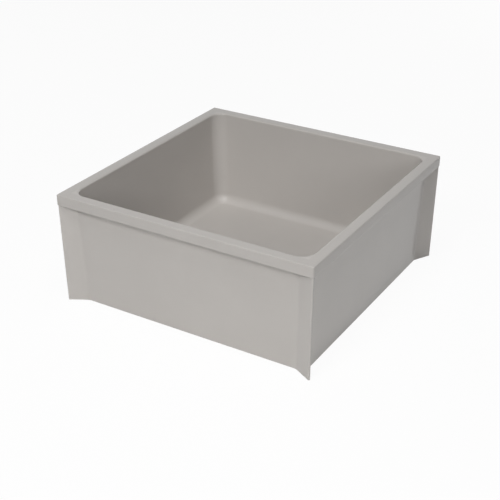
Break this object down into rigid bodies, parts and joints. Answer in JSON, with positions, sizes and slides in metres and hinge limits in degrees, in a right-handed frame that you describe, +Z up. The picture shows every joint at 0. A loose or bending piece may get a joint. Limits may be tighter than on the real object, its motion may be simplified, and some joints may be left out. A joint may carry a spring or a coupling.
{
  "type": "mop service sink",
  "caption": "Square floor-standing mop basin with a flat rim, an overhanging band, flared corner fins, a coved bowl and a floor drain with a lift-out strainer.",
  "frame": {"origin": "centre of the footprint, on the floor that the basin stands on", "axes": "+Z up, +X to the right, -Y to the front; the picture looks at the front from the right and from above"},
  "size_m": [0.6096, 0.6096, 0.254],
  "materials": {
    "moulded_stone": "semi-gloss moulded composite",
    "drain_bronze": "cast, machined faces",
    "seal_rubber": "matte",
    "fibre": "matte",
    "stainless": "satin"
  },
  "bodies": {
    "basin_and_drain": {"basin": "moulded_stone", "drain_body": "drain_bronze", "flange_seal": "seal_rubber", "floor_washer": "seal_rubber", "slip_washer": "fibre", "lock_nut": "drain_bronze", "pipe_seal": "seal_rubber", "seal_nut": "drain_bronze", "seat_ring": "stainless", "ring_screws": "stainless"},
    "lint_basket": {"lint_basket": "stainless", "lift_knob": "stainless", "knob_screw": "stainless"},
    "dome_strainer": {"dome_strainer": "stainless"}
  },
  "joints": [
    {"name": "basket_lift", "type": "slide", "parent": "basin_and_drain", "child": "lint_basket", "axis": [0, 0, 1], "range_m": [0, 0.25]},
    {"name": "dome_lift", "type": "slide", "parent": "lint_basket", "child": "dome_strainer", "axis": [0, 0, 1], "range_m": [0, 0.25]}
  ]
}
